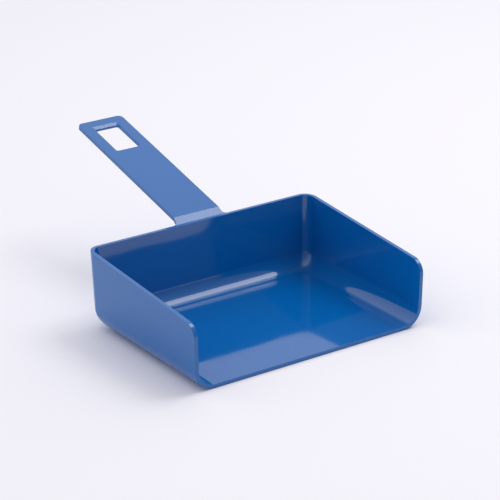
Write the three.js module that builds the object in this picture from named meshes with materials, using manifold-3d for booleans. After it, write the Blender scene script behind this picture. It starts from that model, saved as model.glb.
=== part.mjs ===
// A hand feed scoop: a shallow moulded pan, open at the top and the front, with a flat strap handle.
// Millimetres, +Z up. The pan stands on its flat underside, the pouring lip is at -Y and the handle
// rises towards +Y. The origin is on the underside, half way between the lip and the back wall.
import * as THREE from 'three';
import { mergeVertices } from 'three/addons/utils/BufferGeometryUtils.js';
import Module from 'manifold-3d';

// Pan
const panWidth = 200;          // across the outside, where the walls meet the floor
const panDepth = 138.2;        // lip to the outside of the back wall, at the floor
const backHeight = 61.5;
const frontHeight = 50.5;       // side walls at the lip, before their corner is rounded
const wall = 3;
const sideLean = THREE.MathUtils.degToRad(1.3);
const backLean = THREE.MathUtils.degToRad(3);
const baseRadius = 16;         // outside, floor to walls
const cornerRadius = 10;       // outside, back wall to side walls
const frontCornerRadius = 11;  // the side walls' upper front corners

// Ramp: the short steep tongue behind the rim that lifts the handle off the pan
const rampRun = 5.5;
const rampLift = 4;
const rampFillet = 4;          // in plan, ramp to rim

// Handle
const handleWidth = 40.5;
const handleLength = 142;      // along the rising strap
const handleRise = THREE.MathUtils.degToRad(14.2);
const handleThickness = 3;
const handleEndRadius = 8;
const slotWidth = 22;
const slotLength = 34.5;
const slotRadius = 2;
const slotToEnd = 11;          // slot's far edge to the end of the strap
const legRun = 8;              // how far the fixing's leg runs on under the strap

// Pins that hold the tab to the back wall
const pinRadius = 2.5;
const pinHeadRadius = 4.6;
const pinHeadRim = 0.4;
const pinConeDepth = 1.5;
const pinTailRadius = 4.4;
const pinTailHeight = 1.7;
const pinSpacing = 21;         // across
const pinRowSpacing = 14;      // up and down
const pinMargin = 1.2;         // from a pin's head to the edges of the tab, and to the bend above it

const clearance = 0.3;         // between two pieces that touch
const overshoot = 10;          // how far a cutting solid reaches past what it cuts
const cornerSteps = 8;
const baseSteps = 8;
const roundSteps = 24;

const yLip = -panDepth / 2;
const yBack = panDepth / 2;
const yRim = yBack + backHeight * Math.tan(backLean);
const yBend = yRim + rampRun;
const yHandle = yBend + clearance;
const bendHeight = backHeight + rampLift;
const rampRise = Math.atan2(rampLift, rampRun);
const tabFront = yBack + clearance / Math.cos(backLean);
const tabBack = tabFront + handleThickness / Math.cos(backLean);
const legTop = backHeight - (wall + clearance) / Math.cos(rampRise);
const elbow = meetUnderRamp(legTop - handleThickness / Math.cos(rampRise), tabBack);
const pinEdge = pinHeadRadius + pinMargin;
const pinRows = [elbow - pinEdge, elbow - pinEdge - pinRowSpacing];
const tabFoot = pinRows[1] - pinEdge;
const tabWidth = pinSpacing + 2 * pinEdge;

// The height at which a line parallel to the ramp, given by its height at the rim, meets a face
// parallel to the back wall, given by its place at the floor.
function meetUnderRamp(heightAtRim, faceAtFloor) {
  const slope = Math.tan(rampRise);
  return (heightAtRim + (faceAtFloor - yRim) * slope) / (1 - Math.tan(backLean) * slope);
}

const wasm = await Module();
wasm.setup();

function solid(geometry) {
  const bare = geometry.clone();
  bare.deleteAttribute('normal');
  bare.deleteAttribute('uv');
  const merged = mergeVertices(bare, 1e-5);
  return new wasm.Manifold(new wasm.Mesh({
    numProp: 3,
    vertProperties: new Float32Array(merged.attributes.position.array),
    triVerts: new Uint32Array(merged.index.array),
  }));
}

function surface(body) {
  const { numProp, vertProperties, triVerts } = body.getMesh();
  const geometry = new THREE.BufferGeometry();
  geometry.setAttribute('position', new THREE.BufferAttribute(new Float32Array(vertProperties), numProp));
  geometry.setIndex(new THREE.BufferAttribute(new Uint32Array(triVerts), 1));
  geometry.computeVertexNormals();
  return geometry;
}

// A closed skin over rings of points that all have the same count and turn the same way.
function loft(rings) {
  const count = rings[0].length;
  const top = (rings.length - 1) * count;
  const index = [];
  for (let ring = 0; ring < top; ring += count) {
    for (let i = 0; i < count; i++) {
      const next = (i + 1) % count;
      index.push(ring + i, ring + next, ring + count + next);
      index.push(ring + i, ring + count + next, ring + count + i);
    }
  }
  for (let i = 1; i < count - 1; i++) {
    index.push(0, i + 1, i);
    index.push(top, top + i, top + i + 1);
  }
  const geometry = new THREE.BufferGeometry();
  geometry.setAttribute('position', new THREE.Float32BufferAttribute(rings.flat(2), 3));
  geometry.setIndex(index);
  return geometry;
}

// The pan's plan at one height, with its two back corners rounded. It runs on past the lip.
function planRing(inset, z, radius) {
  const half = panWidth / 2 + z * Math.tan(sideLean) - inset / Math.cos(sideLean);
  const back = yBack + z * Math.tan(backLean) - inset / Math.cos(backLean);
  const plan = new THREE.Path();
  plan.moveTo(-half, yLip - overshoot);
  plan.lineTo(half, yLip - overshoot);
  plan.absarc(half - radius, back - radius, radius, 0, Math.PI / 2);
  plan.absarc(radius - half, back - radius, radius, Math.PI / 2, Math.PI);
  return plan.getPoints(cornerSteps).map((point) => [point.x, point.y, z]);
}

// The outside of the pan, or with inset the hollow inside it, as one lofted block.
function panBlock(inset) {
  const round = baseRadius - inset;
  const corner = cornerRadius - inset;
  const rings = [];
  for (let step = 0; step <= baseSteps; step++) {
    const angle = (step / baseSteps) * Math.PI / 2;
    const rise = inset + round * (1 - Math.cos(angle));
    rings.push(planRing(inset + round * (1 - Math.sin(angle)), rise, corner));
  }
  rings.push(planRing(inset, backHeight + overshoot, corner));
  return solid(loft(rings));
}

// A prism across the scoop from an outline drawn in the Y-Z plane.
function acrossPrism(outline, width) {
  const geometry = new THREE.ExtrudeGeometry(outline, {
    depth: width, bevelEnabled: false, curveSegments: cornerSteps,
  });
  geometry.translate(0, 0, -width / 2);
  const basis = new THREE.Matrix4().makeBasis(
    new THREE.Vector3(0, 1, 0), new THREE.Vector3(0, 0, 1), new THREE.Vector3(1, 0, 0));
  return solid(geometry.applyMatrix4(basis));
}

// The side view that the pan is cut to: lip, rounded front corner, sloping rim, level back.
function panProfile() {
  const slope = Math.atan2(backHeight - frontHeight, yRim - yLip);
  const reach = frontCornerRadius * Math.tan((Math.PI / 2 - slope) / 2);
  const outline = new THREE.Shape();
  outline.moveTo(yBack + 2 * overshoot, -overshoot);
  outline.lineTo(yBack + 2 * overshoot, backHeight);
  outline.lineTo(yRim, backHeight);
  outline.absarc(yLip + frontCornerRadius, frontHeight - reach, frontCornerRadius,
    Math.PI / 2 + slope, Math.PI);
  outline.lineTo(yLip, -overshoot);
  return outline;
}

// The ramp in plan: a tongue that spreads into the rim with a fillet on each side.
function rampPlan() {
  const half = handleWidth / 2;
  const outline = new THREE.Shape();
  outline.moveTo(half + rampFillet, yRim - wall / 2);
  outline.lineTo(half + rampFillet, yRim);
  outline.absarc(half + rampFillet, yRim + rampFillet, rampFillet, -Math.PI / 2, -Math.PI, true);
  outline.lineTo(half, yBend);
  outline.lineTo(-half, yBend);
  outline.absarc(-half - rampFillet, yRim + rampFillet, rampFillet, 0, -Math.PI / 2, true);
  outline.lineTo(-half - rampFillet, yRim - wall / 2);
  return outline;
}

// The ramp in side view, rooted in the back wall.
function rampProfile() {
  const drop = wall / Math.cos(rampRise);
  return new THREE.Shape([
    new THREE.Vector2(yRim, backHeight),
    new THREE.Vector2(yRim - wall / 2, backHeight - wall / 2),
    new THREE.Vector2(yRim - wall / 2, backHeight - drop - (wall / 2) * Math.tan(rampRise)),
    new THREE.Vector2(yBend, bendHeight - drop),
    new THREE.Vector2(yBend, bendHeight),
  ]);
}

function makeRamp() {
  const plan = new THREE.ExtrudeGeometry(rampPlan(), {
    depth: bendHeight, bevelEnabled: false, curveSegments: cornerSteps,
  });
  return solid(plan).intersect(acrossPrism(rampProfile(), handleWidth + 2 * rampFillet + overshoot));
}

// Where the pins go: their axes stand square to the back wall, and the local origin of each
// is on the wall's inner face, with +Z pointing back out of the scoop.
function pinPlaces() {
  const places = [];
  for (const z of pinRows) {
    for (const side of [-1, 1]) {
      const y = yBack + z * Math.tan(backLean) - wall / Math.cos(backLean);
      places.push(new THREE.Matrix4().makeRotationX(-Math.PI / 2 - backLean)
        .setPosition(side * pinSpacing / 2, y, z));
    }
  }
  return places;
}

// A pin from the scoop's inside outwards: flush head, cone, shank and the closed tail. With a gap
// it is the hole that the pin passes through, which is open at both ends.
function pinProfile(gap) {
  const coneEnd = pinHeadRim + pinConeDepth + gap;
  const grip = wall + clearance + handleThickness;
  if (gap > 0) {
    return [
      [0, -overshoot / 4], [pinHeadRadius + gap, -overshoot / 4], [pinHeadRadius + gap, pinHeadRim],
      [pinRadius + gap, coneEnd], [pinRadius + gap, grip + overshoot / 4], [0, grip + overshoot / 4],
    ];
  }
  const tail = [];
  for (let step = 0; step <= 5; step++) {
    const angle = (step / 5) * Math.PI / 2;
    tail.push([pinTailRadius * Math.cos(angle), grip + clearance + pinTailHeight * Math.sin(angle)]);
  }
  tail[tail.length - 1][0] = 0;
  return [
    [0, 0], [pinHeadRadius, 0], [pinHeadRadius, pinHeadRim], [pinRadius, coneEnd],
    [pinRadius, grip + clearance], ...tail,
  ];
}

function pinGeometry(gap) {
  const points = pinProfile(gap).map(([radius, along]) => new THREE.Vector2(radius, along));
  return new THREE.LatheGeometry(points, roundSteps).rotateX(Math.PI / 2);
}

function pinHoles() {
  return pinPlaces().map((place) => solid(pinGeometry(clearance).applyMatrix4(place)));
}

function cutAll(body, cutters) {
  return cutters.reduce((left, cutter) => left.subtract(cutter), body);
}

function makePan() {
  const shell = panBlock(0)
    .subtract(panBlock(wall))
    .intersect(acrossPrism(panProfile(), panWidth + 2 * overshoot))
    .add(makeRamp());
  return surface(cutAll(shell, pinHoles()));
}

// The strap in side view, square-ended where it meets the ramp.
function strapProfile() {
  const start = new THREE.Vector2(yHandle, bendHeight);
  const along = new THREE.Vector2(Math.cos(handleRise), Math.sin(handleRise));
  const end = start.clone().addScaledVector(along, handleLength);
  const under = new THREE.Vector2(along.y, -along.x).multiplyScalar(handleThickness);
  return new THREE.Shape([
    start,
    new THREE.Vector2(yHandle, bendHeight - handleThickness / along.x),
    end.clone().add(under),
    end,
  ]);
}

// The fixing in side view: the tab down the back wall, and the leg that runs up under the ramp
// and into the underside of the strap.
function fixingProfile() {
  const lean = Math.tan(backLean);
  const tabTop = meetUnderRamp(legTop, tabFront);
  const insideStrap = bendHeight - handleThickness / 2;
  return new THREE.Shape([
    new THREE.Vector2(tabFront + tabFoot * lean, tabFoot),
    new THREE.Vector2(tabBack + tabFoot * lean, tabFoot),
    new THREE.Vector2(tabBack + elbow * lean, elbow),
    new THREE.Vector2(yHandle + legRun, insideStrap + legRun * Math.tan(handleRise)),
    new THREE.Vector2(yHandle, insideStrap),
    new THREE.Vector2(yHandle, legTop + (yHandle - yRim) * Math.tan(rampRise)),
    new THREE.Vector2(tabFront + tabTop * lean, tabTop),
  ]);
}

// A prism square to the strap, from an outline in the strap's own plane: X across the handle and
// Y along it from the end of the ramp.
function strapPrism(outline) {
  const depth = 2 * overshoot;
  const geometry = new THREE.ExtrudeGeometry(outline, {
    depth, bevelEnabled: false, curveSegments: cornerSteps,
  });
  geometry.translate(0, 0, -depth / 2);
  geometry.rotateX(handleRise);
  geometry.translate(0, yHandle, bendHeight);
  return solid(geometry);
}

function handleOutline() {
  const half = handleWidth / 2;
  const outline = new THREE.Shape();
  outline.moveTo(-half, -overshoot);
  outline.lineTo(half, -overshoot);
  outline.absarc(half - handleEndRadius, handleLength - handleEndRadius, handleEndRadius, 0, Math.PI / 2);
  outline.absarc(handleEndRadius - half, handleLength - handleEndRadius, handleEndRadius,
    Math.PI / 2, Math.PI);
  return outline;
}

function slotOutline() {
  const x = slotWidth / 2 - slotRadius;
  const far = handleLength - slotToEnd - slotRadius;
  const near = handleLength - slotToEnd - slotLength + slotRadius;
  const outline = new THREE.Shape();
  outline.absarc(x, near, slotRadius, -Math.PI / 2, 0);
  outline.absarc(x, far, slotRadius, 0, Math.PI / 2);
  outline.absarc(-x, far, slotRadius, Math.PI / 2, Math.PI);
  outline.absarc(-x, near, slotRadius, Math.PI, 1.5 * Math.PI);
  return outline;
}

function makeHandle() {
  const strap = acrossPrism(strapProfile(), handleWidth + overshoot)
    .intersect(strapPrism(handleOutline()))
    .subtract(strapPrism(slotOutline()))
    .add(acrossPrism(fixingProfile(), tabWidth));
  return surface(cutAll(strap, pinHoles()));
}

function mouldedBlue() {
  return new THREE.MeshStandardMaterial({ color: 0x1c5fae, roughness: 0.25, metalness: 0 });
}

const scoop = new THREE.Group();

function addPiece(name, geometry) {
  const piece = new THREE.Mesh(geometry, mouldedBlue());
  piece.name = name;
  scoop.add(piece);
  return piece;
}

addPiece('pan', makePan());
addPiece('handle', makeHandle());
pinPlaces().forEach((place, index) => {
  addPiece(`handle_pin_${index + 1}`, surface(solid(pinGeometry(0)))).applyMatrix4(place);
});

export default scoop;
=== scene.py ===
"""Looks of a hand feed scoop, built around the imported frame: a moulded pan, a strap handle and its pins."""
import logging
import math
from collections.abc import Callable, Iterable
from dataclasses import dataclass
from enum import Enum

import bmesh
import bpy
from mathutils import Matrix, Vector
from mathutils.geometry import intersect_line_line


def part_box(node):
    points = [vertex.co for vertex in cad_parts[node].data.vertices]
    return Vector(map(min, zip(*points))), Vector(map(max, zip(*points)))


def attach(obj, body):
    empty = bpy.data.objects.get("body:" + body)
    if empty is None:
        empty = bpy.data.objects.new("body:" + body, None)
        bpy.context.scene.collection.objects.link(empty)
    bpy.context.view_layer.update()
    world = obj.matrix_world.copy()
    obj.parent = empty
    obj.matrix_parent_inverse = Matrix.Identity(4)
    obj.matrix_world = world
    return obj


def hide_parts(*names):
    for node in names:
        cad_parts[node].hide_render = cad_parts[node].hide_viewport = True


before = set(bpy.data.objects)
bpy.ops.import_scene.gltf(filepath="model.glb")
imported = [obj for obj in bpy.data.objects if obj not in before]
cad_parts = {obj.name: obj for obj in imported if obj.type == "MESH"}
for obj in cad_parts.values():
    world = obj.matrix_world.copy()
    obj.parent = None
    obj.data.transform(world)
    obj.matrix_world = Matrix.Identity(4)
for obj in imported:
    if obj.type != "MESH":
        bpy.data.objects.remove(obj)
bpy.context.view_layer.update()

MM = 0.001
CUT_SLACK = 0.001 * MM      # a corner this near a cutting plane counts as on it
MERGE = 0.002 * MM          # corners this close become one
NEAR = 0.1 * MM             # how close two places are when they count as the same
SQUARE_ON = 0.98            # cosine above which a face counts as facing a direction
FLAT_WEIGHT = 90            # how far the large flat faces lead the shading over the small round ones
NOISE_LOW = 0.35            # most values of a noise pattern lie from this one
NOISE_HIGH = 0.7            # to this one
ACROSS = Vector((1.0, 0.0, 0.0))
UP = Vector((0.0, 0.0, 1.0))
PIN_NUMBERS = range(1, 5)
LOG = logging.getLogger("feed_scoop")

MeshPart = bmesh.types.BMVert | bmesh.types.BMEdge | bmesh.types.BMFace


class Side(Enum):
    """The two sides of the scoop, as the sign of X."""

    LEFT = -1
    RIGHT = 1


class Slot(Enum):
    """The record's material slots."""

    MOULDING = "blue_moulding"
    PIN = "blue_pin"


def linear(hex_colour: str) -> tuple[float, float, float, float]:
    """Turns an sRGB hex colour to linear.

    Args:
        hex_colour: Six hex digits after a #.

    Returns:
        Red, green, blue and an alpha of 1.
    """
    channels = (int(hex_colour[i:i + 2], 16) / 255 for i in (1, 3, 5))
    red, green, blue = (c / 12.92 if c <= 0.04045 else ((c + 0.055) / 1.055) ** 2.4 for c in channels)
    return red, green, blue, 1.0


def add_node(tree: bpy.types.NodeTree, kind: str, settings: dict | None = None,
             **inputs: object) -> bpy.types.Node:
    """Adds a node with its settings, values and links.

    Args:
        tree: The node tree.
        kind: The node's type name.
        settings: Attributes of the node itself.
        inputs: Sockets by name, with underscores for spaces; a value is set and an output is linked.

    Returns:
        The new node.
    """
    node = tree.nodes.new(kind)
    for key, value in (settings or {}).items():
        setattr(node, key, value)
    for key, value in inputs.items():
        socket = next(s for s in node.inputs if s.name == key.replace("_", " ") and s.enabled)
        if isinstance(value, bpy.types.NodeSocket):
            tree.links.new(value, socket)
        else:
            socket.default_value = value
    return node


def live_output(node: bpy.types.Node) -> bpy.types.NodeSocket:
    """Returns the first output that the node's settings leave in use."""
    return next(s for s in node.outputs if s.enabled)


@dataclass(frozen=True)
class MouldedPlastic:
    """Pigmented ABS out of a polished mould.

    The colour is opaque and even, with faint clouds where the melt flowed. The skin is glossy, with
    a fine ripple from the mould and a slow waviness where the walls cooled. Lengths are in millimetres.
    """

    name: str
    colour: str = "#0362AC"
    cloud_colour: str = "#0665B0"
    gloss: float = 0.05             # roughness where the skin is as the mould left it: sharp reflections
    dull: float = 0.09              # roughness where feed and hands have rubbed it: slightly softer ones
    ior: float = 1.6                # strong pale reflections at low angles
    cloud: float = 60.0             # size of the clouds of colour, which keep large walls from looking flat
    rubbed: float = 15.0            # size of the rubbed patches
    ripple: float = 1.6             # polish marks, drawn far coarser than real ones so that they show
    ripple_height: float = 0.0015
    wave: float = 38.0              # waves that bend the edges of reflections on the walls
    wave_height: float = 0.12

    def make(self) -> bpy.types.Material:
        """Builds the material. Its patterns are in millimetres on Object coordinates.

        Returns:
            The material.
        """
        material = bpy.data.materials.new(self.name)
        material.use_nodes = True
        tree = material.node_tree
        tree.nodes.clear()
        place = add_node(tree, "ShaderNodeTexCoord").outputs["Object"]
        clouds = add_node(tree, "ShaderNodeTexNoise", Vector=place, Scale=1 / (self.cloud * MM),
                          Detail=3.0, Roughness=0.5)
        colour = add_node(tree, "ShaderNodeMix", {"data_type": "RGBA"}, Factor=clouds.outputs["Fac"],
                          A=linear(self.colour), B=linear(self.cloud_colour))
        rubbed = add_node(tree, "ShaderNodeTexNoise", Vector=place, Scale=1 / (self.rubbed * MM),
                          Detail=4.0, Roughness=0.6)
        roughness = add_node(tree, "ShaderNodeMapRange", Value=rubbed.outputs["Fac"], From_Min=NOISE_LOW,
                             From_Max=NOISE_HIGH, To_Min=self.gloss, To_Max=self.dull)
        ripples = add_node(tree, "ShaderNodeTexNoise", Vector=place, Scale=1 / (self.ripple * MM),
                           Detail=1.0)
        waves = add_node(tree, "ShaderNodeTexNoise", Vector=place, Scale=1 / (self.wave * MM), Detail=0.0)
        slow = add_node(tree, "ShaderNodeBump", Strength=1.0, Distance=self.wave_height * MM,
                        Height=waves.outputs["Fac"])
        fine = add_node(tree, "ShaderNodeBump", Strength=1.0, Distance=self.ripple_height * MM,
                        Height=ripples.outputs["Fac"], Normal=slow.outputs["Normal"])
        shader = add_node(tree, "ShaderNodeBsdfPrincipled", Base_Color=live_output(colour),
                          Roughness=roughness.outputs["Result"], IOR=self.ior,
                          Normal=fine.outputs["Normal"])
        add_node(tree, "ShaderNodeOutputMaterial", Surface=shader.outputs["BSDF"])
        return material


@dataclass(frozen=True)
class StudioPaper:
    """Seamless background paper: matt, nearly white, with a faint fibre in it."""

    name: str = "studio_paper"
    colour: str = "#F3F3F6"
    fibre_colour: str = "#F0F0F4"
    fibre: float = 3.0              # millimetres, coarser than real fibres so that they show
    roughness: float = 0.9

    def make(self) -> bpy.types.Material:
        """Builds the material.

        Returns:
            The material.
        """
        material = bpy.data.materials.new(self.name)
        material.use_nodes = True
        tree = material.node_tree
        tree.nodes.clear()
        place = add_node(tree, "ShaderNodeTexCoord").outputs["Object"]
        fibres = add_node(tree, "ShaderNodeTexNoise", Vector=place, Scale=1 / (self.fibre * MM), Detail=2.0)
        colour = add_node(tree, "ShaderNodeMix", {"data_type": "RGBA"}, Factor=fibres.outputs["Fac"],
                          A=linear(self.colour), B=linear(self.fibre_colour))
        shader = add_node(tree, "ShaderNodeBsdfPrincipled", Base_Color=live_output(colour),
                          Roughness=self.roughness, Specular_IOR_Level=0.0)
        add_node(tree, "ShaderNodeOutputMaterial", Surface=shader.outputs["BSDF"])
        return material


def round_edges(bm: bmesh.types.BMesh, edges: Iterable[bmesh.types.BMEdge], radius: float,
                segments: int = 3) -> None:
    """Rounds edges.

    Args:
        bm: The mesh.
        edges: Edges of it.
        radius: How far the round runs along each face.
        segments: Facets across the round.
    """
    bmesh.ops.bevel(bm, geom=list(edges), affect="EDGES", offset=radius, segments=segments, profile=0.5,
                    material=-1, clamp_overlap=True, loop_slide=True)


def sharp_edges(bm: bmesh.types.BMesh, least: float = 30.0) -> list[bmesh.types.BMEdge]:
    """Finds the edges still left sharp.

    Args:
        bm: The mesh.
        least: The smallest angle between two faces, in degrees, that counts as sharp.

    Returns:
        The edges.
    """
    return [e for e in bm.edges if len(e.link_faces) == 2 and e.calc_face_angle() > math.radians(least)]


def faces_where(bm: bmesh.types.BMesh, test: Callable[[Vector, Vector], bool]) -> list[bmesh.types.BMFace]:
    """Finds faces by their place and direction.

    Args:
        bm: The mesh.
        test: Tells from a face's centre and its normal whether the face is wanted.

    Returns:
        The faces that pass.
    """
    bm.normal_update()
    return [f for f in bm.faces if test(f.calc_center_median(), f.normal)]


def with_edges(faces: Iterable[bmesh.types.BMFace]) -> list[MeshPart]:
    """Gathers faces with their edges and corners, as the cutting operators want them.

    Args:
        faces: The faces.

    Returns:
        Their corners, their edges and the faces, each once.
    """
    faces = list(faces)
    edges = list(dict.fromkeys(e for f in faces for e in f.edges))
    verts = list(dict.fromkeys(v for f in faces for v in f.verts))
    return verts + edges + faces


def cut(bm: bmesh.types.BMesh, faces: Iterable[bmesh.types.BMFace], point: Vector, normal: Vector,
        clear: bool = False) -> None:
    """Cuts faces with a plane.

    Args:
        bm: The mesh.
        faces: The faces to cut.
        point: A point on the plane.
        normal: The plane's normal.
        clear: Whether what lies on the normal's side goes.
    """
    bmesh.ops.bisect_plane(bm, geom=with_edges(faces), dist=CUT_SLACK, plane_co=point, plane_no=normal,
                           clear_outer=clear)


def meet(first: Vector, first_way: Vector, second: Vector, second_way: Vector) -> Vector:
    """Finds where two lines of the side view cross.

    Args:
        first: A point on the first line.
        first_way: Its direction.
        second: A point on the second line.
        second_way: Its direction.

    Returns:
        The crossing.
    """
    return intersect_line_line(first, first + first_way, second, second + second_way)[0]


def make_piece(bm: bmesh.types.BMesh, name: str, finish: bpy.types.Material, slot: Slot,
               *nodes: str) -> bpy.types.Object:
    """Turns a finished mesh to a piece that rides on the scoop.

    Args:
        bm: The mesh, which is used up.
        name: The piece's name.
        finish: Its material.
        slot: The record's slot for that material. Not used.
        nodes: The CAD nodes that it stands for.

    Returns:
        The piece.
    """
    bmesh.ops.remove_doubles(bm, verts=bm.verts[:], dist=MERGE)
    bmesh.ops.recalc_face_normals(bm, faces=bm.faces[:])
    mesh = bpy.data.meshes.new(name)
    bm.to_mesh(mesh)
    bm.free()
    mesh.shade_smooth()
    mesh.materials.append(finish)
    piece = bpy.data.objects.new(name, mesh)
    bpy.context.scene.collection.objects.link(piece)
    even = piece.modifiers.new("even_shading", "WEIGHTED_NORMAL")
    even.mode = "FACE_AREA"
    even.weight = FLAT_WEIGHT
    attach(piece, "root")
    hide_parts(*nodes)
    LOG.info("%s: %d faces, stands for %s", name, len(mesh.polygons), ", ".join(nodes))
    return piece


@dataclass
class Pan:
    """The moulded pan: floor, back, two sides and the steep ramp behind the rim that the handle joins."""

    half_width: float
    lip_y: float
    rim_y: float
    height: float
    ramp_half: float
    ramp_run: float = 5.5 * MM
    ramp_lift: float = 4.0 * MM
    wall: float = 3.0 * MM
    side_lean: float = math.radians(1.3)
    back_lean: float = math.radians(3.0)
    base_radius: float = 16.0 * MM
    corner_radius: float = 10.0 * MM
    front_height: float = 50.5 * MM
    front_corner: float = 11.0 * MM
    ramp_fillet: float = 4.0 * MM
    edge_radius: float = 0.8 * MM
    steps: int = 12
    fillet_steps: int = 6

    @classmethod
    def from_frame(cls) -> "Pan":
        """Takes the pan's sizes from the frame.

        Returns:
            The pan.
        """
        low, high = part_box("pan")
        height = high.z - cls.ramp_lift
        return cls(half_width=high.x - height * math.tan(cls.side_lean), lip_y=low.y,
                   rim_y=high.y - cls.ramp_run, height=height, ramp_half=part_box("handle")[1].x)

    @property
    def ramp_drop(self) -> float:
        """How thick the ramp is, straight down."""
        return self.wall * math.hypot(self.ramp_run, self.ramp_lift) / self.ramp_run

    def _raise(self, bm: bmesh.types.BMesh, edges: list[bmesh.types.BMEdge], outward: float,
               up: float) -> list[bmesh.types.BMEdge]:
        """Runs the wall on from its open edge.

        Args:
            bm: The mesh.
            edges: The wall's upper edge.
            outward: How far the new edge stands outside it, but for the walls' lean.
            up: How far the new edge stands above it.

        Returns:
            The new upper edge.
        """
        made = bmesh.ops.extrude_edge_only(bm, edges=edges)["geom"]
        for vert in (v for v in made if isinstance(v, bmesh.types.BMVert)):
            side = outward + up * math.tan(self.side_lean)
            back = outward + up * math.tan(self.back_lean) if vert.co.y > self.lip_y + self.wall else 0.0
            vert.co += Vector((math.copysign(side, vert.co.x), back, up))
        return [e for e in made if isinstance(e, bmesh.types.BMEdge)]

    def _skin(self) -> bmesh.types.BMesh:
        """Builds the outer skin as one open sheet.

        Returns:
            The sheet.
        """
        bm = bmesh.new()
        half = self.half_width - self.base_radius
        back = self.rim_y - self.height * math.tan(self.back_lean) - self.base_radius
        plan = [bm.verts.new((x, y, 0.0)) for x, y in
                ((-half, self.lip_y), (-half, back), (half, back), (half, self.lip_y))]
        for start, end in zip(plan, plan[1:]):
            bm.edges.new((start, end))
        bmesh.ops.bevel(bm, geom=plan[1:3], affect="VERTICES", offset=self.corner_radius,
                        segments=self.steps, profile=0.5, material=-1)
        edges = bm.edges[:]
        bmesh.ops.contextual_create(bm, geom=edges + bm.verts[:])
        edges = [e for e in bm.edges if any(v.co.y > self.lip_y + self.wall for v in e.verts)]
        for step in range(self.steps):
            start, end = (math.pi / 2 * (step + i) / self.steps for i in (0, 1))
            up = self.base_radius * (math.cos(start) - math.cos(end))
            outward = self.base_radius * (math.sin(end) - math.sin(start))
            edges = self._raise(bm, edges, outward, up)
        for up in (self.height - self.ramp_drop - self.base_radius, self.ramp_drop):
            edges = self._raise(bm, edges, 0.0, up)
        return bm

    def _trim(self, bm: bmesh.types.BMesh) -> None:
        """Cuts the skin to its sloping rim and rounded front corners.

        Args:
            bm: The skin.
        """
        slope = math.atan2(self.height - self.front_height, self.rim_y - self.lip_y)
        reach = self.front_corner * math.tan((math.pi / 2 - slope) / 2)
        centre = Vector((0.0, self.lip_y + self.front_corner, self.front_height - reach))
        start = math.pi / 2 + slope
        for step in range(self.steps):
            angle = start + (math.pi - start) * step / self.steps
            normal = Vector((0.0, math.cos(angle), math.sin(angle)))
            point = centre + normal * self.front_corner
            cut(bm, bm.faces[:], point, normal, clear=True)

    @property
    def ramp_cuts(self) -> list[float]:
        """Where the ramp's edge and the facets of its fillet start, across from the middle."""
        turns = (math.pi / 2 * step / self.fillet_steps for step in range(self.fillet_steps + 1))
        return [self.ramp_half + self.ramp_fillet * (1 - math.cos(turn)) for turn in turns]

    def _ramp_reach(self, across: float) -> float:
        """Works out how far behind the rim the ramp reaches.

        Args:
            across: The distance from the middle, with or without its sign.

        Returns:
            The ramp's full run beside the handle, and less where the fillet curves in to the wall.
        """
        left = self.ramp_half + self.ramp_fillet - abs(across)
        if left >= self.ramp_fillet - CUT_SLACK:
            return self.ramp_run
        return self.ramp_fillet - math.sqrt(max(0.0, self.ramp_fillet ** 2 - left ** 2))

    def _ramp(self, bm: bmesh.types.BMesh) -> None:
        """Draws the ramp and its fillets out of the back wall.

        Args:
            bm: The pan's closed shell.
        """
        face = faces_where(bm, lambda c, n: n.y > SQUARE_ON and abs(c.x) < self.ramp_half + self.ramp_fillet
                           and c.z > self.height - self.ramp_drop and c.y > self.rim_y - self.wall / 2)
        made = bmesh.ops.extrude_face_region(bm, geom=face)["geom"]
        bmesh.ops.delete(bm, geom=face, context="FACES_ONLY")
        for vert in (v for v in made if isinstance(v, bmesh.types.BMVert)):
            reach = self._ramp_reach(vert.co.x)
            vert.co.y = max(vert.co.y, self.rim_y + reach) if reach > 0 else vert.co.y
            vert.co.z += self.ramp_lift * reach / self.ramp_run
        bmesh.ops.remove_doubles(bm, verts=bm.verts[:], dist=MERGE)

    def build(self, finish: bpy.types.Material) -> bpy.types.Object:
        """Builds the pan.

        Args:
            finish: Its material.

        Returns:
            The piece.
        """
        bm = self._skin()
        self._trim(bm)
        bmesh.ops.recalc_face_normals(bm, faces=bm.faces[:])
        for side in Side:
            for across in self.ramp_cuts:
                back = faces_where(bm, lambda _, n: abs(n.y) > SQUARE_ON)
                cut(bm, back, side.value * across * ACROSS, ACROSS)
        floor = max(bm.faces, key=lambda f: f.calc_area())
        if floor.normal.z > 0:
            bmesh.ops.reverse_faces(bm, faces=bm.faces[:])
        bmesh.ops.solidify(bm, geom=bm.faces[:], thickness=self.wall)
        self._ramp(bm)
        round_edges(bm, sharp_edges(bm), self.edge_radius)
        return make_piece(bm, "pan_moulding", finish, Slot.MOULDING, "pan")


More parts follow.
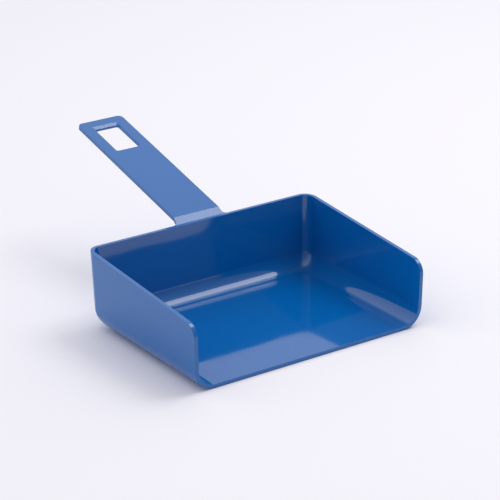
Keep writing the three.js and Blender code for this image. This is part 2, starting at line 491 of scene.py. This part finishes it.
@dataclass
class Handle:
    """The strap handle with its hanging slot, and the leg and tab that fix it behind the back wall."""

    half_width: float
    start: Vector
    rim: Vector
    end: Vector
    tab_foot: float
    tab_front: float
    tab_half: float
    rise: float = math.radians(14.2)
    thickness: float = 3.0 * MM
    wall: float = 3.0 * MM
    clearance: float = 0.3 * MM
    end_radius: float = 8.0 * MM
    slot_half: float = 11.0 * MM
    slot_length: float = 34.5 * MM
    slot_radius: float = 2.0 * MM
    slot_to_end: float = 11.0 * MM
    leg_run: float = 8.0 * MM
    fixing_reach: float = 20.0 * MM
    edge_radius: float = 0.6 * MM
    seam_depth: float = 5.0 * MM
    end_segments: int = 14
    slot_segments: int = 6
    ease_run: float = 3.0 * MM
    ease_drop: float = 1.2 * MM
    crease_radius: float = 0.4 * MM
    crease_angle: float = 17.0
    crease_to_end: float = 5.0 * MM

    @classmethod
    def from_frame(cls) -> "Handle":
        """Takes the handle's sizes from the frame.

        Returns:
            The handle.
        """
        low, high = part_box("handle")
        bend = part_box("pan")[1]
        pins = [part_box(f"handle_pin_{i}") for i in PIN_NUMBERS]
        pin_margin = 1.2 * MM
        return cls(half_width=high.x, start=Vector((0.0, bend.y + cls.clearance, bend.z)),
                   rim=Vector((0.0, bend.y - Pan.ramp_run, bend.z - Pan.ramp_lift)),
                   end=Vector((0.0, high.y - cls.thickness * math.sin(cls.rise), high.z)), tab_foot=low.z,
                   tab_front=low.y, tab_half=max(p[1].x for p in pins) + pin_margin)

    @property
    def along(self) -> Vector:
        """The direction the strap runs in."""
        return Vector((0.0, math.cos(self.rise), math.sin(self.rise)))

    @property
    def out(self) -> Vector:
        """The direction square out of the strap's top."""
        return Vector((0.0, -math.sin(self.rise), math.cos(self.rise)))

    @property
    def strap_only(self) -> float:
        """The Y past which there is only strap."""
        return self.start.y + self.fixing_reach

    @property
    def slot_far(self) -> Vector:
        """The middle of the slot's far side, on the strap's top."""
        return self.end - self.along * self.slot_to_end

    @property
    def slot_near(self) -> Vector:
        """The middle of the slot's near side, on the strap's top."""
        return self.slot_far - self.along * self.slot_length

    def _profile(self, bm: bmesh.types.BMesh) -> tuple[bmesh.types.BMFace, bmesh.types.BMFace]:
        """Draws the side view as two faces: the fixing and the strap.

        Args:
            bm: The mesh.

        Returns:
            The fixing's face and the strap's face.
        """
        lean = Vector((0.0, math.tan(Pan.back_lean), 1.0))
        slope = Vector((0.0, Pan.ramp_run, Pan.ramp_lift)).normalized()
        square = Vector((0.0, slope.z, -slope.y))
        leg_top = self.rim + square * (self.wall + self.clearance)
        leg_under = leg_top + square * self.thickness
        tab_front = Vector((0.0, self.tab_front, self.tab_foot))
        tab_back = tab_front + Vector((0.0, self.thickness / math.cos(Pan.back_lean), 0.0))
        under = self.start - UP * self.thickness / math.cos(self.rise)
        elbow = meet(tab_back, lean, leg_under, slope)
        toe = self.start + self.along * self.leg_run - UP * self.thickness / 2
        corner = {name: bm.verts.new((-self.tab_half, point.y, point.z)) for name, point in (
            ("tab_foot_front", tab_front),
            ("tab_foot_back", tab_back),
            ("elbow", elbow),
            ("leg_end", meet(elbow, toe - elbow, under, self.along)),
            ("under", under),
            ("leg_start", meet(leg_top, slope, self.start, UP)),
            ("tab_top", meet(leg_top, slope, tab_front, lean)),
            ("start", self.start),
            ("end_top", self.end),
            ("end_under", self.end - self.out * self.thickness),
        )}
        fixing = bm.faces.new([corner[n] for n in ("tab_foot_front", "tab_foot_back", "elbow", "leg_end",
                                                   "under", "leg_start", "tab_top")])
        strap = bm.faces.new([corner[n] for n in ("start", "under", "leg_end", "end_under", "end_top")])
        return fixing, strap

    def build(self, finish: bpy.types.Material) -> bpy.types.Object:
        """Builds the handle.

        Args:
            finish: Its material.

        Returns:
            The piece.
        """
        bm = bmesh.new()
        fixing, strap = self._profile(bm)
        made = bmesh.ops.extrude_face_region(bm, geom=[fixing, strap])["geom"]
        verts = [v for v in made if isinstance(v, bmesh.types.BMVert)]
        bmesh.ops.translate(bm, verts=verts, vec=2 * self.tab_half * ACROSS)
        bmesh.ops.recalc_face_normals(bm, faces=bm.faces[:])
        for side in Side:
            wing = faces_where(bm, lambda c, n: n.x * side.value > SQUARE_ON and c.y > self.strap_only)
            made = bmesh.ops.extrude_face_region(bm, geom=wing)["geom"]
            bmesh.ops.delete(bm, geom=wing, context="FACES_ONLY")
            for vert in (v for v in made if isinstance(v, bmesh.types.BMVert)):
                vert.co.x = side.value * self.half_width
        self._slot(bm)
        self._round(bm)
        return make_piece(bm, "handle_strap", finish, Slot.MOULDING, "handle")

    def _flat(self, centre: Vector, normal: Vector) -> bool:
        """Tells the strap's top and underside from its other faces.

        Args:
            centre: The face's centre.
            normal: The face's normal.

        Returns:
            Whether the face is one of them.
        """
        return abs(normal.dot(self.out)) > SQUARE_ON and abs(centre.x) < self.half_width

    def _beside_slot(self, centre: Vector, normal: Vector) -> bool:
        """Tells the parts of the top and underside that lie between the slot's ends, eased side and all.

        Args:
            centre: The face's centre.
            normal: The face's normal.

        Returns:
            Whether the face is one of them.
        """
        past_near = (centre - self.slot_near).dot(self.along)
        past_far = (centre - self.slot_far).dot(self.along)
        return self._flat(centre, normal) and past_near > 0 and past_far < self.ease_run

    def _slot(self, bm: bmesh.types.BMesh) -> None:
        """Cuts the hanging slot through the strap and eases its far side for the finger.

        Args:
            bm: The handle.
        """
        far = self.slot_far
        corner = far - self.along * self.slot_radius
        eased = far + self.along * self.ease_run
        for point in (self.slot_near, corner, far, eased):
            cut(bm, faces_where(bm, self._flat), point, self.along)
        for side in Side:
            for across in (self.slot_half, self.slot_half + self.slot_radius):
                cut(bm, faces_where(bm, self._beside_slot), side.value * across * ACROSS, ACROSS)
        hole = faces_where(bm, lambda c, n: self._beside_slot(c, n) and abs(c.x) < self.slot_half
                           and (far - c).dot(self.along) > 0)
        inner = [e for f in hole for e in f.edges]
        edges = [e for e in dict.fromkeys(inner) if inner.count(e) == 1]
        bmesh.ops.delete(bm, geom=hole, context="FACES")
        bmesh.ops.bridge_loops(bm, edges=edges)
        for vert in bm.verts:
            at_far_side = abs((vert.co - far).dot(self.along)) < NEAR
            on_top = (vert.co - self.end).dot(self.out) > -NEAR
            if at_far_side and on_top and abs(vert.co.x) < self.slot_half + NEAR:
                vert.co -= self.out * self.ease_drop

    def _at_slot_top(self, place: Vector) -> bool:
        """Tells the places around the slot's top edge, eased side and all.

        Args:
            place: A corner of the mesh.

        Returns:
            Whether it is one of them.
        """
        height = (place - self.end).dot(self.out)
        to_end = (self.end - place).dot(self.along)
        return (abs(place.x) < self.slot_half + 2 * self.slot_radius and height > -self.ease_drop - NEAR
                and place.y > self.strap_only and to_end > self.crease_to_end)

    def _at_seam(self, place: Vector) -> bool:
        """Tells the places on the strap's end face, which stays sharp because it closes on the ramp.

        Args:
            place: A corner of the mesh.

        Returns:
            Whether it is one of them.
        """
        return abs(place.y - self.start.y) < NEAR and place.z > self.start.z - self.seam_depth

    def _round(self, bm: bmesh.types.BMesh) -> None:
        """Rounds the strap's end, the slot's corners and all the edges but those at the ramp.

        Args:
            bm: The handle with its slot.
        """
        through = []
        for edge in sharp_edges(bm):
            start, end = (v.co for v in edge.verts)
            if start.y > self.strap_only and abs((start - end).normalized().dot(self.out)) > SQUARE_ON:
                through.append(edge)
        inner = [e for e in through if abs(e.verts[0].co.x) < self.slot_half + NEAR]
        outer = [e for e in through if e not in inner]
        round_edges(bm, inner, self.slot_radius, self.slot_segments)
        round_edges(bm, outer, self.end_radius, self.end_segments)
        creases = [e for e in sharp_edges(bm, self.crease_angle)
                   if all(self._at_slot_top(v.co) for v in e.verts)]
        round_edges(bm, creases, self.crease_radius)
        rest = [e for e in sharp_edges(bm) if not all(self._at_seam(v.co) for v in e.verts)]
        round_edges(bm, rest, self.edge_radius)


@dataclass
class Pins:
    """The four moulded pins whose tails are closed by heat behind the tab."""

    head_radius: float = 4.6 * MM
    head_depth: float = 0.15 * MM
    head_cone: float = 1.5 * MM
    shank_radius: float = 2.5 * MM
    grip: float = 6.6 * MM
    tail_radius: float = 4.4 * MM
    tail_height: float = 1.7 * MM
    tail_edge: float = 0.5 * MM
    tail_crown: float = 0.15 * MM
    tail_round: float = 0.35 * MM
    tail_angle: float = 20.0
    steps: int = 40

    def build(self, finish: bpy.types.Material) -> list[bpy.types.Object]:
        """Builds the pins.

        Args:
            finish: Their material.

        Returns:
            The four pieces.
        """
        return [self._pin(i, finish) for i in PIN_NUMBERS]

    def _pin(self, number: int, finish: bpy.types.Material) -> bpy.types.Object:
        """Turns one pin, whose head is melted flush into the wall.

        Args:
            number: The pin's number.
            finish: Its material.

        Returns:
            The piece.
        """
        low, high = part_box(f"handle_pin_{number}")
        bm = bmesh.new()
        outline = [(0.0, self.head_depth), (self.head_radius, self.head_depth),
                   (self.shank_radius, self.head_depth + self.head_cone), (self.shank_radius, self.grip),
                   (self.tail_radius, self.grip), (self.tail_radius, self.grip + self.tail_edge),
                   (self.shank_radius, self.grip + self.tail_height - self.tail_crown),
                   (0.0, self.grip + self.tail_height)]
        verts = [bm.verts.new((r, y, 0.0)) for r, y in outline]
        edges = [bm.edges.new(pair) for pair in zip(verts, verts[1:])]
        bmesh.ops.spin(bm, geom=verts + edges, cent=(0, 0, 0), axis=(0, 1, 0), angle=2 * math.pi,
                       steps=self.steps, use_merge=True)
        bmesh.ops.remove_doubles(bm, verts=bm.verts[:], dist=MERGE)
        tail = [e for e in sharp_edges(bm, self.tail_angle) if e.verts[0].co.y > self.grip - NEAR]
        round_edges(bm, tail, self.tail_round)
        lean = Pan.back_lean
        head = Vector(((low.x + high.x) / 2, low.y + self.head_radius * math.sin(lean),
                       high.z - self.head_radius * math.cos(lean)))
        place = Matrix.Translation(head) @ Matrix.Rotation(-lean, 4, "X")
        bmesh.ops.transform(bm, matrix=place, verts=bm.verts[:])
        return make_piece(bm, f"staked_pin_{number}", finish, Slot.PIN, f"handle_pin_{number}")


@dataclass(frozen=True)
class SoftBox:
    """A square studio light that faces the scoop."""

    name: str
    place: tuple[float, float, float]
    side: float
    power: float
    colour: str = "#FFFFFF"

    def hang(self, target: Vector) -> bpy.types.Object:
        """Hangs the light and turns it to the target.

        Args:
            target: The point it faces.

        Returns:
            The light.
        """
        lamp = bpy.data.lights.new(self.name, "AREA")
        lamp.shape = "SQUARE"
        lamp.size = self.side
        lamp.energy = self.power
        lamp.color = linear(self.colour)[:3]
        light = bpy.data.objects.new(self.name, lamp)
        light.location = self.place
        light.rotation_mode = "QUATERNION"
        light.rotation_quaternion = (target - Vector(self.place)).to_track_quat("-Z", "Y")
        bpy.context.scene.collection.objects.link(light)
        LOG.info("light %s, %.0f W", self.name, self.power)
        return light


@dataclass
class Studio:
    """A bright white studio: paper floor, pale surroundings, one soft light and the camera.

    The surroundings grow brighter from the horizon (low_level) to the zenith (high_level), and are
    dimmed to front_share on the camera's side, over the stretch of direction Y in front_y.
    """

    floor_size: float = 12.0
    floor_drop: float = 0.05 * MM
    surround: str = "#FCFAFF"
    low_level: float = 0.6
    high_level: float = 1.35
    front_share: float = 0.42
    front_y: tuple[float, float] = (-0.6, 0.1)
    lens: float = 158.4
    sensor: float = 36.0
    near_clip: float = 0.01
    far_clip: float = 50.0
    eye: tuple[float, float, float] = (-0.8584, -1.2075, 0.6678)
    look: tuple[float, float, float] = (0.53381, 0.75579, -0.37924)
    target: tuple[float, float, float] = (0.0, 0.05, 0.03)
    key: SoftBox = SoftBox("key", (0.85, -0.12, 1.4), 0.75, 6.3)

    def build(self) -> None:
        """Sets up the whole studio."""
        self._floor()
        self._surroundings()
        self._camera()
        self.key.hang(Vector(self.target))
        bpy.context.scene.view_settings.view_transform = "Standard"

    def _floor(self) -> None:
        """Lays the paper floor just under the scoop."""
        bm = bmesh.new()
        bmesh.ops.create_grid(bm, x_segments=1, y_segments=1, size=self.floor_size / 2)
        bmesh.ops.translate(bm, verts=bm.verts[:], vec=-self.floor_drop * UP)
        mesh = bpy.data.meshes.new("studio_floor")
        bm.to_mesh(mesh)
        bm.free()
        mesh.materials.append(StudioPaper().make())
        floor = bpy.data.objects.new("studio_floor", mesh)
        bpy.context.scene.collection.objects.link(floor)

    def _surroundings(self) -> None:
        """Lights the room from all round, less from the camera's side."""
        world = bpy.data.worlds.new("studio_white")
        world.use_nodes = True
        tree = world.node_tree
        tree.nodes.clear()
        way = add_node(tree, "ShaderNodeTexCoord").outputs["Generated"]
        split = add_node(tree, "ShaderNodeSeparateXYZ", Vector=way)
        level = add_node(tree, "ShaderNodeMapRange", Value=split.outputs["Z"], From_Min=0.0, From_Max=1.0,
                         To_Min=self.low_level, To_Max=self.high_level)
        share = add_node(tree, "ShaderNodeMapRange", Value=split.outputs["Y"], From_Min=self.front_y[0],
                         From_Max=self.front_y[1], To_Min=self.front_share, To_Max=1.0)
        strength = add_node(tree, "ShaderNodeMath", {"operation": "MULTIPLY"})
        tree.links.new(level.outputs["Result"], strength.inputs[0])
        tree.links.new(share.outputs["Result"], strength.inputs[1])
        glow = add_node(tree, "ShaderNodeBackground", Color=linear(self.surround),
                        Strength=live_output(strength))
        add_node(tree, "ShaderNodeOutputWorld", Surface=glow.outputs["Background"])
        bpy.context.scene.world = world

    def _camera(self) -> None:
        """Stands the camera ahead of the scoop, to its left and above it."""
        lens = bpy.data.cameras.new("camera")
        lens.sensor_width = self.sensor
        lens.lens = self.lens
        lens.clip_start = self.near_clip
        lens.clip_end = self.far_clip
        camera = bpy.data.objects.new("camera", lens)
        camera.location = self.eye
        camera.rotation_mode = "QUATERNION"
        camera.rotation_quaternion = Vector(self.look).to_track_quat("-Z", "Y")
        bpy.context.scene.collection.objects.link(camera)
        bpy.context.scene.camera = camera


def main() -> None:
    logging.basicConfig(level=logging.INFO, format="%(name)s: %(message)s")
    moulding = MouldedPlastic("blue_abs_moulded").make()
    # Heat dulls the closed tails and leaves their skin slightly pitted.
    staked = MouldedPlastic("blue_abs_heat_closed", gloss=0.3, dull=0.42, ripple=1.2,
                            ripple_height=0.02).make()
    Pan.from_frame().build(moulding)
    Handle.from_frame().build(moulding)
    Pins().build(staked)
    Studio().build()


if __name__ == "__main__":
    main()
